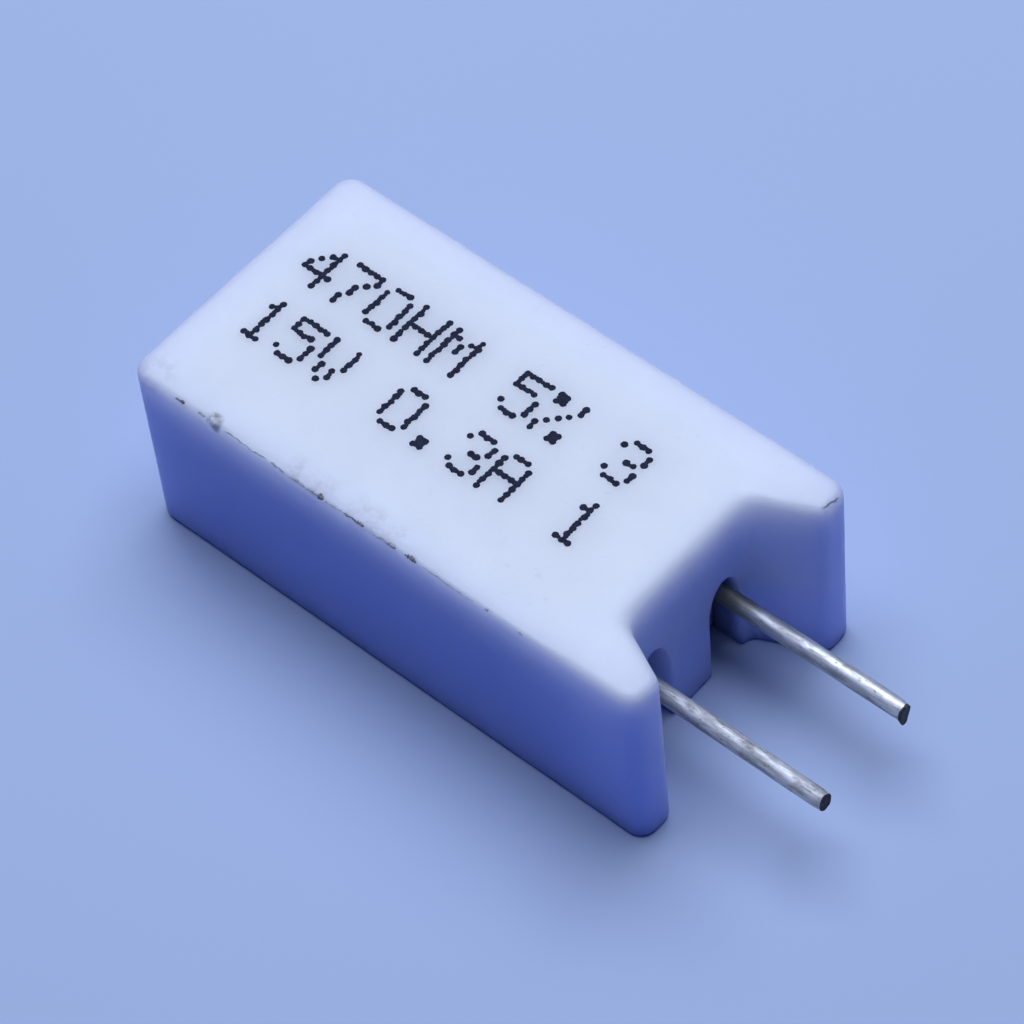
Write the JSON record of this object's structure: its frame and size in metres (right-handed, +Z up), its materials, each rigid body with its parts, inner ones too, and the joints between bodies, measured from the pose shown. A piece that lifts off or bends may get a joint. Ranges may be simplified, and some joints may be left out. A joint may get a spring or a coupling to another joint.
{
  "type": "power resistor",
  "caption": "Vertical-mount wire-wound power resistor in a white ceramic case filled with cement, with stand-off feet and straight solder leads at one end.",
  "frame": {"origin": "middle of the case's open back, in the plane of its rim, which it lies on", "axes": "+X along the case towards the leads, +Y across it, +Z up through the printed face"},
  "size_m": [0.0318, 0.013, 0.0094],
  "materials": {
    "case_ceramic": "unglazed white, smooth and slightly translucent, soiled along a moulding edge",
    "cement": "matte, sandy",
    "core_ceramic": "unglazed",
    "resistance_wire": "rolled nickel-chromium wire",
    "cap_steel": "pressed and plated",
    "tinned_copper": "dull tin plate, scratched"
  },
  "bodies": {
    "root": {"ceramic_case": "case_ceramic", "cement_filling": "cement", "core_rod": "core_ceramic", "resistance_winding": "resistance_wire", "end_cap_front": "cap_steel", "end_cap_rear": "cap_steel", "lead_straight": "tinned_copper", "lead_return": "tinned_copper"}
  },
  "joints": []
}
